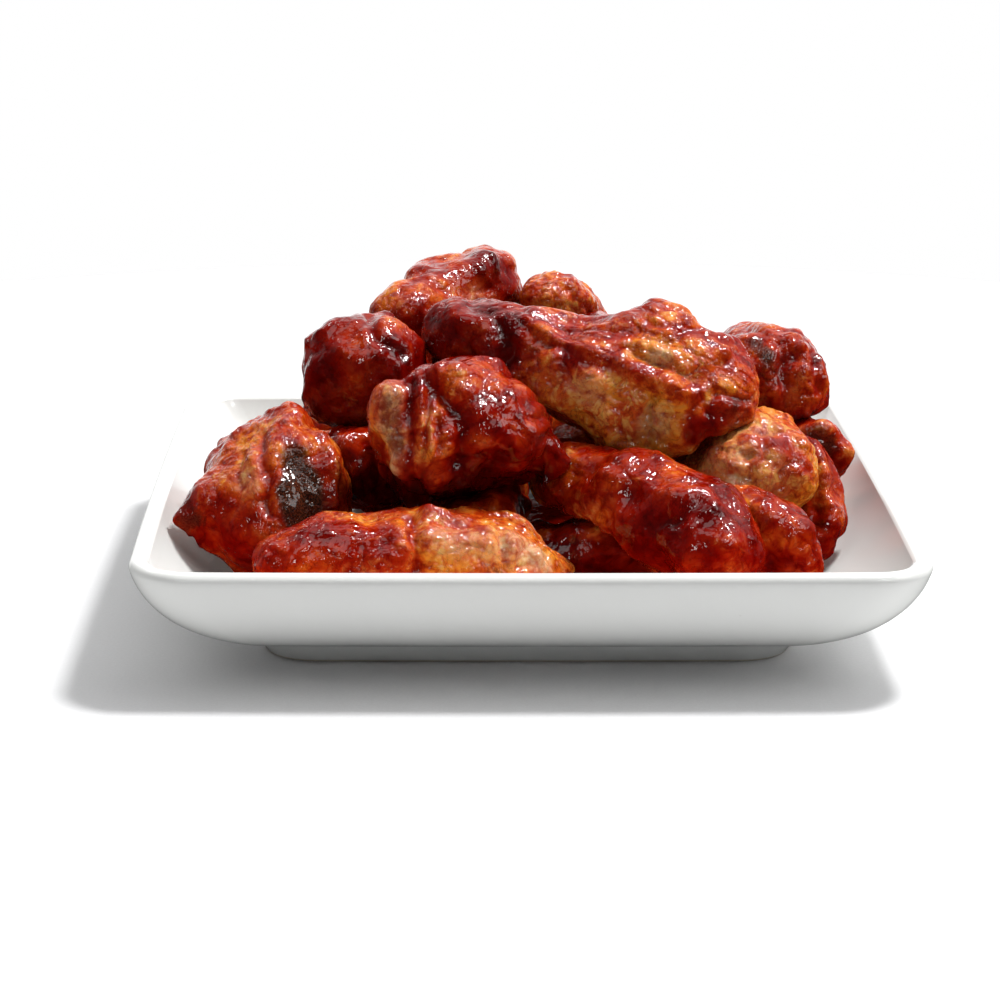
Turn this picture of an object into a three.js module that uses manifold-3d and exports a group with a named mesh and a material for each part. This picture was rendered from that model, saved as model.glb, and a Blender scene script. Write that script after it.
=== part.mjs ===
// A square porcelain dish on a foot, heaped with sauced chicken wings.
// Millimetres, +Z up, +X to the right, +Y to the back. The origin is on the table, under the dish's middle.
import * as THREE from "three";
import Module from "manifold-3d";

const wasm = await Module();
wasm.setup();

// ---------------------------------------------------------------- driving dimensions
const DISH = {
  side: 203, // outer side of the rim, through the middle of each edge
  height: 32.6, // table to the top of the rim
  bow: 1, // how far each edge stands out past its own corners
  rimCorner: 17, // corner radius of the rim, in plan
  rimWidth: 5, // width of the lip
  footSide: 138, // side of the foot where it stands
  footFlare: 3, // how much wider the foot is where it meets the body, on each side
  footHeight: 6,
  footCorner: 14, // corner radius of the foot, in plan
  footWidth: 6, // width of the ring that stands on the table
  recess: 2.5, // depth of the underside inside the foot
  floor: 10, // height of the inside floor
  floorSide: 132, // side of the flat of the floor
  slant: 0.3, // how far the outer wall is from a quarter of an ellipse, 0, to straight, 1
  lip: 1.8, // radius of the rim's outer edge
  edge: 0.8, // bevel round the bottom of the foot
};
const GAP = 0.8; // clearance first left between two pieces that touch
const GAP_STEP = 0.3; // added for a pair whose flat facets still come too close
const CLEAR = 0.35; // least clearance between any two pieces

// A drumette has one bone and so one round body. A flat has two side by side, each STRAND of the width
// and set SPREAD of it aside, with a shallow groove between them.
const DRUMETTE = "drumette";
const FLAT = "flat";
const STRAND = 0.7;
const SPREAD = 0.36;

// Every wing follows a spine of stations [x, y, z, radius] from its bone end to its meat end. flat is its
// thickness as a share of its width, roll turns its broad side about its length in degrees, lumps is how far
// its skin swells and sinks, and lobes are further swellings [x, y, z, radius].
const WINGS = [
  {
    name: "wing_top", kind: DRUMETTE, flat: 0.82, roll: 70, lumps: 1.3,
    spine: [
      [-18, 2, 70.5, 12.5], [-3, -3, 69.5, 13], [12, -8, 65, 15.5],
      [27, -12, 60.5, 18.5], [41, -16, 58.5, 19.5], [50, -18, 56.5, 16],
    ],
    lobes: [[37, -8, 72.5, 12.5], [52, -14, 65, 12.5]],
  },
  {
    name: "wing_front_right", kind: DRUMETTE, flat: 0.9, roll: 20, lumps: 1.1,
    spine: [
      [8, -22, 38, 8.5], [19, -32, 38, 11], [31, -42, 36, 14],
      [42, -51, 31.5, 15.5], [48, -56, 28, 14.5],
    ],
    lobes: [[50, -60, 27, 12], [44, -48, 23, 13]],
  },
  {
    name: "wing_front", kind: FLAT, flat: 0.86, roll: 10, lumps: 0.9,
    spine: [
      [-64, -62, 23.5, 10.5], [-52, -60, 25.5, 13.5], [-33, -57, 25.5, 15],
      [-16, -55, 25, 15.5], [-2, -52, 23, 13],
    ],
    lobes: [[7, -49, 17.5, 8.5]],
  },
  {
    name: "wing_centre", kind: DRUMETTE, flat: 0.96, roll: 0, lumps: 1.5,
    spine: [
      [2, 33, 41, 12], [-4, 14, 45, 13.5], [-11, -8, 48.5, 16.5],
      [-17, -24, 51.5, 20], [-20, -33, 52, 20.5],
    ],
    lobes: [[-29, -39, 50, 11.5], [-33, -36, 60, 9.5], [-7, -32, 52, 14], [2, -32, 42, 8]],
  },
  {
    name: "wing_left_upper", kind: DRUMETTE, flat: 1, roll: 0, lumps: 1.5,
    spine: [
      [-35, 52, 46, 11], [-38, 34, 53, 13.5], [-42, 14, 59, 15.5],
      [-44, 0, 62, 15.5], [-44, -6, 62.5, 15],
    ],
    lobes: [[-38, -6, 67.5, 10.5], [-50, -4, 57, 12]],
  },
  {
    name: "wing_left", kind: DRUMETTE, flat: 0.95, roll: 0, lumps: 1.5,
    spine: [
      [-78, 26, 26, 11], [-75, 8, 30, 13], [-70, -12, 34, 17],
      [-66, -28, 36, 19], [-61, -36, 36, 16.5],
    ],
    lobes: [
      [-63, -22, 49.5, 9.5], [-78, -37, 31, 10.5], [-86, -36, 33, 8],
      [-70, -44, 28, 11], [-61, -28, 23, 13],
    ],
  },
  {
    name: "wing_left_inner", kind: FLAT, flat: 0.85, roll: 0, lumps: 1.1,
    spine: [[-47, -18, 41, 12], [-42, -6, 36, 13], [-37, 10, 30, 13], [-32, 26, 25, 12]],
    lobes: [],
  },
  {
    name: "wing_right_mid", kind: FLAT, flat: 0.92, roll: 0, lumps: 1.1,
    spine: [[37, 26, 33, 11], [45, 8, 38, 14.5], [56, -14, 41, 16.5], [65, -26, 40, 14.5]],
    lobes: [[57, -34, 31, 8]],
  },
  {
    name: "wing_corner", kind: DRUMETTE, flat: 0.95, roll: 0, lumps: 0.8,
    spine: [[54, -36, 30, 8], [61, -41, 31, 9.5], [67, -45, 26, 10], [70, -47, 18.5, 8.5]],
    lobes: [],
  },
  {
    name: "wing_right_edge", kind: DRUMETTE, flat: 0.9, roll: 0, lumps: 0.7,
    spine: [[74, -10, 43, 5.5], [79, -14, 37, 7], [80.5, -19, 29, 7.5], [77, -24, 20, 7]],
    lobes: [],
  },
  {
    name: "wing_right_far", kind: DRUMETTE, flat: 0.9, roll: 0, lumps: 0.8,
    spine: [[65, 12, 38, 10], [74, 6, 41, 10], [83, 1, 39.5, 8.5]],
    lobes: [[85, 2, 35, 7.5]],
  },
  {
    name: "wing_right_back", kind: DRUMETTE, flat: 0.95, roll: 0, lumps: 1.3,
    spine: [[51, 62, 43, 10], [59, 44, 50.5, 13], [67, 24, 56, 14.5], [71, 8, 57.5, 14.5]],
    lobes: [[63, 6, 62, 9], [75, 6, 53, 10.5]],
  },
  {
    name: "wing_back_upper", kind: FLAT, flat: 0.95, roll: 0, lumps: 0.9,
    spine: [[-36, 22, 72, 7], [-27, 34, 74.5, 9.5], [-17, 47, 75.5, 11], [-8, 58, 75.5, 10]],
    lobes: [[-22, 30, 72, 8]],
  },
  {
    name: "wing_back_top", kind: DRUMETTE, flat: 0.9, roll: 0, lumps: 0.9,
    spine: [[10, 38, 74.5, 9.5], [11, 49, 69.5, 11], [13, 63, 61, 14], [15, 74, 50, 15]],
    lobes: [],
  },
  {
    name: "wing_under_front", kind: FLAT, flat: 0.85, roll: 0, lumps: 0.9,
    spine: [[5, -30, 19, 9], [21, -32, 20, 11], [39, -28, 20, 11], [53, -16, 20, 10]],
    lobes: [],
  },
  {
    name: "wing_under_centre", kind: FLAT, flat: 0.9, roll: 0, lumps: 0.9,
    spine: [[-14, -36, 29, 10], [-13, -18, 24, 13], [-11, 4, 22, 12], [-7, 22, 22, 11]],
    lobes: [],
  },
  {
    name: "wing_under_top", kind: FLAT, flat: 0.85, roll: 0, lumps: 0.9,
    spine: [[8, -12, 38, 9], [20, -4, 40, 12.5], [34, 8, 42, 15], [44, 22, 45, 16], [48, 34, 46, 14]],
    lobes: [],
  },
  {
    name: "wing_low_left", kind: DRUMETTE, flat: 0.9, roll: 0, lumps: 1.1,
    spine: [[-72, 46, 20.5, 10.5], [-56, 50, 22, 10.5], [-38, 56, 24, 14], [-25, 60, 25, 15]],
    lobes: [],
  },
  {
    name: "wing_low_back", kind: DRUMETTE, flat: 0.9, roll: 0, lumps: 1.1,
    spine: [[-33, 79, 21, 10], [-12, 77, 22, 10.5], [9, 71, 24, 14], [22, 66, 25, 15]],
    lobes: [],
  },
  {
    name: "wing_low_right", kind: DRUMETTE, flat: 0.9, roll: 0, lumps: 1.1,
    spine: [[78, 64, 23, 10], [67, 55, 23.5, 11], [54, 44, 25, 15], [46, 36, 26, 15]],
    lobes: [],
  },
  {
    name: "wing_low_corner", kind: FLAT, flat: 0.85, roll: 0, lumps: 0.9,
    spine: [[79, 34, 22, 9], [73, 18, 21, 10], [65, 0, 21, 11], [61, -16, 21, 11]],
    lobes: [],
  },
  {
    name: "wing_mid_left", kind: DRUMETTE, flat: 0.9, roll: 0, lumps: 1.1,
    spine: [[-58, 74, 29, 10], [-44, 69, 37, 11.5], [-28, 66, 45, 15.5], [-17, 64, 50, 15]],
    lobes: [],
  },
  {
    name: "wing_mid_right", kind: DRUMETTE, flat: 0.9, roll: 0, lumps: 1.1,
    spine: [[60, 76, 30, 10], [51, 70, 37, 12], [40, 63, 44, 15.5], [32, 58, 48, 15]],
    lobes: [],
  },
  {
    name: "wing_high_back", kind: DRUMETTE, flat: 0.9, roll: 0, lumps: 1.1,
    spine: [[-36, 42, 58, 12], [-18, 45, 58, 13.5], [4, 43, 58, 15], [22, 40, 57, 15]],
    lobes: [],
  },
];

const RING_SPACING = 7.2; // from one ring of vertices to the next along a wing
const CAP_RINGS = 2; // rings on each rounded end
const SPOKES = 14; // vertices in each ring
const LOBES = 10; // ellipsoids along the spine of a wing, merged softly
const LUMP_LENGTH = 17; // from one lump of a wing's uneven skin to the next

const clamp = (x, low = 0, high = 1) => Math.min(high, Math.max(low, x));
const smooth = (a, b, x) => {
  const t = clamp((x - a) / (b - a));
  return t * t * (3 - 2 * t);
};
const radians = THREE.MathUtils.degToRad;

// ---------------------------------------------------------------- the dish
// A ring round a rounded square whose sides bow out a little: half its side, its corner radius and the bow.
const CORNER_STEPS = 4;
const SIDE_STEPS = 3;
function squareRing(reach, corner, bow) {
  const straight = reach - corner;
  const inset = bow * (straight / reach) ** 2;
  const quarter = [];
  for (let i = 0; i <= SIDE_STEPS; i++) {
    const y = straight * ((2 * i) / SIDE_STEPS - 1);
    quarter.push([reach - bow * (y / reach) ** 2, y]);
  }
  for (let i = 1; i < CORNER_STEPS; i++) {
    const angle = ((i / CORNER_STEPS) * Math.PI) / 2;
    quarter.push([straight - inset + corner * Math.cos(angle), straight - inset + corner * Math.sin(angle)]);
  }
  const points = [];
  for (let side = 0; side < 4; side++) {
    const cos = Math.cos((side * Math.PI) / 2);
    const sin = Math.sin((side * Math.PI) / 2);
    for (const [x, y] of quarter) points.push([x * cos - y * sin, x * sin + y * cos]);
  }
  return points;
}

// The dish's section, from the middle of its underside out and up to the rim, and back down to the middle
// of its floor. Each step is half a side, a height and a corner radius.
const RIM = DISH.side / 2;
const FOOT = DISH.footSide / 2;
const FLOOR = DISH.floorSide / 2;
const WALL_STEPS = 6;
function dishSection() {
  const steps = [
    [FOOT - DISH.footWidth - 1, DISH.recess, DISH.footCorner - 6],
    [FOOT - DISH.footWidth, 0, DISH.footCorner - 5],
    [FOOT - DISH.edge, 0, DISH.footCorner],
    [FOOT, DISH.edge, DISH.footCorner],
    [FOOT + DISH.footFlare, DISH.footHeight, DISH.footCorner],
  ];
  const wallStart = FOOT + DISH.footFlare + 2;
  const wallTop = DISH.height - DISH.lip;
  for (let i = 0; i <= WALL_STEPS; i++) {
    const share = i / WALL_STEPS;
    const angle = (share * Math.PI) / 2;
    const out = (1 - DISH.slant) * Math.sin(angle) + DISH.slant * share;
    const up = (1 - DISH.slant) * (1 - Math.cos(angle)) + DISH.slant * share;
    steps.push([
      wallStart + (RIM - wallStart) * out,
      DISH.footHeight + 0.3 + (wallTop - DISH.footHeight - 0.3) * up,
      DISH.footCorner - 1 + (DISH.rimCorner - DISH.footCorner + 1) * out,
    ]);
  }
  steps.push([RIM - DISH.lip * 0.3, DISH.height - DISH.lip * 0.3, DISH.rimCorner]);
  steps.push([RIM - DISH.lip, DISH.height, DISH.rimCorner - 1]);
  steps.push([RIM - DISH.rimWidth + 1, DISH.height, DISH.rimCorner - DISH.rimWidth + 1]);
  for (let i = 0; i <= WALL_STEPS; i++) {
    const out = Math.cos(((i / WALL_STEPS) * Math.PI) / 2);
    steps.push([...insideAt(out), DISH.rimCorner - DISH.rimWidth + (1 - out) * 6]);
  }
  return steps;
}

// The inside wall is part of an ellipse, from the lip (out = 1) to the floor (out = 0). Gives half a side and a
// height.
function insideAt(out) {
  const steepness = 0.9; // 1 would be upright at the lip
  const rise = (1 - Math.sqrt(1 - steepness * out * out)) / (1 - Math.sqrt(1 - steepness));
  const lipInside = DISH.height - 0.8;
  return [FLOOR + (RIM - DISH.rimWidth - FLOOR) * out, DISH.floor + (lipInside - DISH.floor) * rise];
}

// Height of the dish's inside at a point in plan. Its corners are rounded, so they rise sooner.
function dishInside(x, y) {
  const longer = Math.max(Math.abs(x), Math.abs(y));
  const shorter = Math.min(Math.abs(x), Math.abs(y));
  const reach = longer + 0.25 * Math.max(0, shorter - FLOOR);
  return insideAt(clamp((reach - FLOOR) / (RIM - DISH.rimWidth - FLOOR)))[1];
}

function dishGeometry() {
  const rings = dishSection().map(([reach, z, corner]) =>
    squareRing(reach, corner, DISH.bow * (reach / RIM) ** 2).map(([x, y]) => [x, y, z]),
  );
  const bottom = [0, 0, DISH.recess];
  const top = [0, 0, DISH.floor];
  return closedGeometry(bottom, rings, top);
}

// A closed surface through rings of equal length, with a point at each end. Seen from the last end, the rings
// turn anticlockwise.
function closedGeometry(first, rings, last) {
  const count = rings[0].length;
  const positions = [first, ...rings.flat(), last].flat();
  const at = (ring, spoke) => 1 + ring * count + (spoke % count);
  const faces = [];
  for (let spoke = 0; spoke < count; spoke++) {
    faces.push(0, at(0, spoke + 1), at(0, spoke));
    for (let ring = 0; ring + 1 < rings.length; ring++) {
      const [a, b] = [at(ring, spoke), at(ring, spoke + 1)];
      const [c, d] = [at(ring + 1, spoke + 1), at(ring + 1, spoke)];
      faces.push(a, b, c, a, c, d);
    }
    faces.push(at(rings.length - 1, spoke), at(rings.length - 1, spoke + 1), 1 + rings.length * count);
  }
  const geometry = new THREE.BufferGeometry();
  geometry.setAttribute("position", new THREE.Float32BufferAttribute(positions, 3));
  geometry.setIndex(faces);
  return geometry;
}

// ---------------------------------------------------------------- the wings
// The spine is a smooth curve through the stations, with the radius carried along it.
function wingFrame(wing) {
  const curve = new THREE.CatmullRomCurve3(wing.spine.map(([x, y, z]) => new THREE.Vector3(x, y, z)));
  const girths = wing.spine.map((station) => station[3]);
  const girthAt = (t) => {
    const place = t * (girths.length - 1);
    const first = Math.min(Math.floor(place), girths.length - 2);
    const share = smooth(0, 1, place - first);
    return girths[first] * (1 - share) + girths[first + 1] * share;
  };
  const up = new THREE.Vector3(0, 0, 1);
  const frameAt = (t) => {
    const tangent = curve.getTangent(t);
    const side = tangent.clone().cross(up).normalize();
    const lift = side.clone().cross(tangent).normalize();
    side.applyAxisAngle(tangent, radians(wing.roll));
    lift.applyAxisAngle(tangent, radians(wing.roll));
    return { at: curve.getPoint(t), tangent, side, lift };
  };
  return { wing, curve, girthAt, frameAt };
}

// The ellipsoids whose smooth union is the wing. Each is a little shorter than it is wide.
const END_LENGTH = 0.75;
const BODY_LENGTH = 0.9;
function wingLobes({ wing, curve, girthAt, frameAt }) {
  const spacing = curve.getLength() / (LOBES - 1);
  const lobes = [];
  for (let i = 0; i < LOBES; i++) {
    const t = i / (LOBES - 1);
    const width = girthAt(t);
    const { at, tangent, side, lift } = frameAt(t);
    const long = i === 0 || i === LOBES - 1 ? END_LENGTH : BODY_LENGTH;
    const radii = [width, width * wing.flat, Math.max(width * long, spacing)];
    const axes = [side, lift, tangent];
    if (wing.kind === DRUMETTE) {
      lobes.push({ at, axes, radii });
      continue;
    }
    radii[0] *= STRAND;
    for (const aside of [-SPREAD, SPREAD]) {
      lobes.push({ at: at.clone().addScaledVector(side, aside * width), axes, radii });
    }
  }
  const upright = [[1, 0, 0], [0, 1, 0], [0, 0, 1]].map((axis) => new THREE.Vector3(...axis));
  for (const [x, y, z, radius] of wing.lobes) {
    lobes.push({ at: new THREE.Vector3(x, y, z), axes: upright, radii: [radius, radius, radius] });
  }
  return lobes;
}

// The uneven skin: waves in three slanting directions, set off differently for every wing.
const WAVES = [[0.8, 0.5, 0.3], [-0.4, 0.8, 0.5], [0.3, -0.5, 0.9]];
const WING_PHASE = 2.4;
const WAVE_PHASE = 1.7;
function lump(index, p) {
  const step = (2 * Math.PI) / LUMP_LENGTH;
  let sum = 0;
  WAVES.forEach(([a, b, c], wave) => {
    sum += Math.sin((a * p.x + b * p.y + c * p.z) * step + index * WING_PHASE + wave * WAVE_PHASE);
  });
  return (WINGS[index].lumps * sum) / WAVES.length;
}

// How far a point is outside a wing, roughly: negative inside.
const BLEND = 4; // how softly neighbouring lobes merge
const SWELL = 1.3; // what that merging adds all round, taken off again
function outside(index, p) {
  let nearest = Infinity;
  for (const { at, axes, radii } of allLobes[index]) {
    const dx = p.x - at.x;
    const dy = p.y - at.y;
    const dz = p.z - at.z;
    let share = 0;
    let scale = 0;
    for (let k = 0; k < 3; k++) {
      const a = (dx * axes[k].x + dy * axes[k].y + dz * axes[k].z) / radii[k];
      share += a * a;
      scale += (a / radii[k]) ** 2;
    }
    const k0 = Math.sqrt(share);
    const distance = scale > 1e-12 ? (k0 * (k0 - 1)) / Math.sqrt(scale) : -Math.min(...radii);
    const h = Math.max(BLEND - Math.abs(nearest - distance), 0) / BLEND;
    nearest = Number.isFinite(nearest) ? Math.min(nearest, distance) - h * h * BLEND * 0.25 : distance;
  }
  return nearest + SWELL - lump(index, p);
}

const frames = WINGS.map(wingFrame);
const allLobes = frames.map(wingLobes);
const spheres = allLobes.map((lobes) => {
  const centre = lobes[Math.floor(lobes.length / 2)].at;
  const reach = Math.max(...lobes.map((lobe) => lobe.at.distanceTo(centre) + Math.max(...lobe.radii)));
  return { centre, reach };
});

// Above zero where a wing may not be: past its own skin, over the middle line to a neighbour, or in the dish.
const gaps = WINGS.map(() => WINGS.map(() => GAP));
const dishGaps = WINGS.map(() => GAP);
function barred(index, p) {
  const own = outside(index, p);
  let worst = Math.max(own, dishInside(p.x, p.y) + dishGaps[index] - p.z);
  for (let other = 0; other < WINGS.length; other++) {
    if (other === index) continue;
    if (p.distanceTo(spheres[other].centre) > spheres[other].reach + 3) continue;
    worst = Math.max(worst, (own - outside(other, p) + gaps[index][other]) / 2);
  }
  return worst;
}

// The point where a ray from inside a wing leaves what the wing may fill.
const MARCH = 0.6;
const FURTHEST = 60;
const LEAST_REACH = 0.3;
const HALVINGS = 12;
function skinPoint(index, origin, direction) {
  let reach = 0;
  const point = new THREE.Vector3();
  const test = (distance) => barred(index, point.copy(origin).addScaledVector(direction, distance));
  while (reach < FURTHEST && test(reach + MARCH) < 0) reach += MARCH;
  let [low, high] = [reach, reach + MARCH];
  for (let i = 0; i < HALVINGS; i++) {
    const middle = (low + high) / 2;
    if (test(middle) < 0) low = middle;
    else high = middle;
  }
  return origin.clone().addScaledVector(direction, Math.max(low, LEAST_REACH));
}

function wingGeometry(index) {
  const { frameAt, curve } = frames[index];
  const count = Math.round(curve.getLength() / RING_SPACING) + 1;
  const rays = []; // one per ring: where it starts along the spine and how far it leans to an end
  for (let i = 0; i < CAP_RINGS; i++) rays.push([0, -(90 - (90 * (i + 1)) / (CAP_RINGS + 1))]);
  for (let i = 0; i < count; i++) rays.push([i / (count - 1), 0]);
  for (let i = 0; i < CAP_RINGS; i++) rays.push([1, (90 * (i + 1)) / (CAP_RINGS + 1)]);
  const rings = rays.map(([t, lean]) => {
    const { at, tangent, side, lift } = frameAt(t);
    const ring = [];
    for (let spoke = 0; spoke < SPOKES; spoke++) {
      const angle = (spoke / SPOKES) * 2 * Math.PI;
      const direction = side.clone().multiplyScalar(Math.cos(angle)).addScaledVector(lift, Math.sin(angle));
      direction.multiplyScalar(Math.cos(radians(lean))).addScaledVector(tangent, Math.sin(radians(lean)));
      ring.push(skinPoint(index, at, direction).toArray());
    }
    return ring;
  });
  const start = frameAt(0);
  const end = frameAt(1);
  const first = skinPoint(index, start.at, start.tangent.clone().negate()).toArray();
  const last = skinPoint(index, end.at, end.tangent).toArray();
  return closedGeometry(first, rings.map((ring) => ring.reverse()), last);
}

function solidOf(geometry) {
  const vertProperties = new Float32Array(geometry.attributes.position.array);
  const triVerts = new Uint32Array(geometry.index.array);
  return new wasm.Manifold(new wasm.Mesh({ numProp: 3, vertProperties, triVerts }));
}

// Draws every wing, then widens the clearance of each pair that is still too close and draws those again.
const ROUNDS = 12;
const SEARCH = 1; // further apart than this is clear enough
function clearWings(dish) {
  const dishSolid = solidOf(dish);
  const geometries = WINGS.map((_, index) => wingGeometry(index));
  const solids = geometries.map(solidOf);
  for (let round = 0; round < ROUNDS; round++) {
    const redo = new Set();
    for (let a = 0; a < WINGS.length; a++) {
      if (solids[a].minGap(dishSolid, SEARCH) < CLEAR) {
        dishGaps[a] += GAP_STEP;
        redo.add(a);
      }
      for (let b = a + 1; b < WINGS.length; b++) {
        if (solids[a].minGap(solids[b], SEARCH) >= CLEAR) continue;
        gaps[a][b] += GAP_STEP;
        gaps[b][a] += GAP_STEP;
        redo.add(a).add(b);
      }
    }
    if (!redo.size) break;
    for (const index of redo) {
      geometries[index] = wingGeometry(index);
      solids[index] = solidOf(geometries[index]);
    }
  }
  return geometries;
}

// ---------------------------------------------------------------- the model
const porcelain = new THREE.MeshStandardMaterial({ color: 0xf1f2ee, roughness: 0.12, metalness: 0 });
const group = new THREE.Group();
function addMesh(name, geometry, material) {
  const mesh = new THREE.Mesh(geometry, material);
  mesh.name = name;
  group.add(mesh);
}
const dish = dishGeometry();
addMesh("dish", dish, porcelain);
clearWings(dish).forEach((geometry, index) => {
  const sauced = new THREE.MeshStandardMaterial({ color: 0x8a2415, roughness: 0.3, metalness: 0 });
  addMesh(WINGS[index].name, geometry, sauced);
});

export default group;
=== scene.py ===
"""Glazed chicken wings heaped in a square white porcelain dish. Metres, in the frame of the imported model."""

import itertools
import math

import bmesh
import bpy
import numpy as np
from mathutils import Matrix, Vector


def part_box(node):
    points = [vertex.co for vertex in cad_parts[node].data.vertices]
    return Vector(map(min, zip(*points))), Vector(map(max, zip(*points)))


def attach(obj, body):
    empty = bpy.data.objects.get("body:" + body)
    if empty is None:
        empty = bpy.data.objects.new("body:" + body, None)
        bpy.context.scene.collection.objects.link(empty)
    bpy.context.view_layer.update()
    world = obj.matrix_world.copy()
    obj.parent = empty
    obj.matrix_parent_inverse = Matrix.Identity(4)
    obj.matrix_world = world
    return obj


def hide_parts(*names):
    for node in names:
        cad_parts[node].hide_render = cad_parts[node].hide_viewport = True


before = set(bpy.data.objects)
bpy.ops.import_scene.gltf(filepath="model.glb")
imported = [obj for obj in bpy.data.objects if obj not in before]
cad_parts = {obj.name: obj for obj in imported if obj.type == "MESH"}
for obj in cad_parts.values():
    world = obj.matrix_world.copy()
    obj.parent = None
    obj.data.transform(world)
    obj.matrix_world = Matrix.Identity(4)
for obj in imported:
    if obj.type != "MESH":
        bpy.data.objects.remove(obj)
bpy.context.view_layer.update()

MM = 0.001


# ---------------------------------------------------------------------------------------------- helpers
def smoothstep(low, high, x):
    t = np.clip((x - low) / (high - low), 0.0, 1.0)
    return t * t * (3 - 2 * t)


FULL_SWING = 1.7  # brings gradient noise to about -1 to 1
TABLE = 256  # cells after which the noise repeats


class Noise:
    """Smooth noise in three dimensions, about -1 to 1, with one swell per unit of length."""

    def __init__(self, seed):
        draw = np.random.default_rng(seed)
        self.order = draw.permutation(TABLE)
        self.slopes = draw.normal(size=(TABLE, 3))
        self.slopes /= np.linalg.norm(self.slopes, axis=1)[:, None]

    def __call__(self, points):
        cell = np.floor(points).astype(np.int64)
        inside = points - cell
        ease = inside**3 * (inside * (inside * 6 - 15) + 10)
        total = np.zeros(len(points))
        for corner in itertools.product((0, 1), repeat=3):
            x, y, z = (cell + corner).T % TABLE
            slope = self.slopes[self.order[(self.order[(self.order[x] + y) % TABLE] + z) % TABLE]]
            weight = np.prod(np.where(corner, ease, 1 - ease), axis=1)
            total += weight * np.einsum("ij,ij->i", inside - corner, slope)
        return total * FULL_SWING


def mesh_arrays(mesh):
    """The places and normals of a mesh's vertices."""
    places = np.empty(len(mesh.vertices) * 3, dtype=np.float32)
    normals = np.empty(len(mesh.vertices) * 3, dtype=np.float32)
    mesh.vertices.foreach_get("co", places)
    mesh.vertex_normals.foreach_get("vector", normals)
    return places.reshape(-1, 3).astype(float), normals.reshape(-1, 3).astype(float)


def set_places(mesh, places):
    mesh.vertices.foreach_set("co", places.astype(np.float32).ravel())
    mesh.update()


def new_object(name, mesh):
    obj = bpy.data.objects.new(name, mesh)
    bpy.context.scene.collection.objects.link(obj)
    return obj


def with_modifiers_applied(obj):
    """Replaces the object's mesh by what its modifiers make of it."""
    evaluated = obj.evaluated_get(bpy.context.evaluated_depsgraph_get())
    made = bpy.data.meshes.new_from_object(evaluated)
    obj.modifiers.clear()
    obj.data = made
    return made


# ---------------------------------------------------------------------------------------------- materials
MIX_COLOURS_IN = (6, 7)  # the colour sockets of a Mix node, which it also has for numbers and vectors
MIX_COLOUR_OUT = 2


class Nodes:
    """Short ways to add and join the nodes of one material."""

    def __init__(self, name):
        self.material = bpy.data.materials.new(name)
        self.material.use_nodes = True
        self.tree = self.material.node_tree
        self.shader = self.tree.nodes["Principled BSDF"]

    def add(self, kind, settings=None, **inputs):
        node = self.tree.nodes.new(kind)
        for key, value in (settings or {}).items():
            setattr(node, key, value)
        for key, value in inputs.items():
            self.put(node.inputs[key.replace("_", " ")], value)
        return node

    def put(self, socket, value):
        if isinstance(value, bpy.types.NodeSocket):
            self.tree.links.new(value, socket)
        else:
            socket.default_value = value

    def math(self, operation, a, b=0.0, clamp=False):
        node = self.tree.nodes.new("ShaderNodeMath")
        node.operation = operation
        node.use_clamp = clamp
        self.put(node.inputs[0], a)
        self.put(node.inputs[1], b)
        return node.outputs[0]

    def span(self, value, low, high, to_low=0.0, to_high=1.0):
        node = self.tree.nodes.new("ShaderNodeMapRange")
        node.interpolation_type = "SMOOTHSTEP"
        ends = {"From Min": low, "From Max": high, "To Min": to_low, "To Max": to_high}
        for key, number in {"Value": value, **ends}.items():
            self.put(node.inputs[key], number)
        return node.outputs[0]

    def mix(self, share, a, b, kind="MIX"):
        node = self.tree.nodes.new("ShaderNodeMix")
        node.data_type = "RGBA"
        node.blend_type = kind
        for socket, value in zip((0, *MIX_COLOURS_IN), (share, a, b)):
            self.put(node.inputs[socket], value)
        return node.outputs[MIX_COLOUR_OUT]

    def noise(self, where, size, detail=3.0, roughness=0.5, distortion=0.0):
        """Noise with swells of the stated size in metres."""
        node = self.add("ShaderNodeTexNoise", Vector=where, Scale=1 / size, Detail=detail, Roughness=roughness)
        node.inputs["Distortion"].default_value = distortion
        return node.outputs["Fac"]

    def bump(self, height, strength, distance):
        return self.add("ShaderNodeBump", Height=height, Strength=strength, Distance=distance).outputs["Normal"]

    def set(self, **inputs):
        for key, value in inputs.items():
            self.put(self.shader.inputs[key.replace("_", " ")], value)


def rgb(red, green, blue):
    """A colour given as it looks on a screen, 0 to 255, as the linear values that a shader takes."""
    parts = [c / 255 for c in (red, green, blue)]
    return tuple(c / 12.92 if c <= 0.04045 else ((c + 0.055) / 1.055) ** 2.4 for c in parts) + (1.0,)


GLAZE_DEEPEST = 2.4  # mm of glaze that the paint's red channel can tell
THROUGH_GLAZE = (("Red", 0.4), ("Green", 0.045), ("Blue", 0.04))  # share of light that a millimetre lets through
THIN_GLAZE = (1.1, 0.1)  # mm from which it counts as thin, and at which it counts as hardly there
PIMPLE = 1.9 * MM  # from one to the next
PIT_MIDDLE = 0.26  # average of the squared distance to the nearest pimple
WET = 1.0  # weight of the clear coat on the wings
DULL = 0.15  # and on what lies deep in the heap: painted shade, the gloss turned down so that its reflections stay dark
PAINTED_BOUNCE_SHARE = 0.68  # painted bounce light: how far the colour that bounce rays see on the wings is taken from their own to the plain grey
# the grey that stands in for the wings' own colour in the painted bounce light
PAINTED_BOUNCE_GREY = rgb(128, 122, 119)
ORANGE, RUSSET, BROWN = rgb(246, 142, 42), rgb(216, 84, 26), rgb(164, 54, 24)
CREAM, DARK_VEIN = rgb(254, 194, 98), rgb(130, 30, 10)
PALE_GRISTLE, TAN_GRISTLE = rgb(252, 216, 168), rgb(232, 160, 106)
BLACK_CHAR, BROWN_CHAR = rgb(32, 14, 10), rgb(98, 48, 30)


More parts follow.
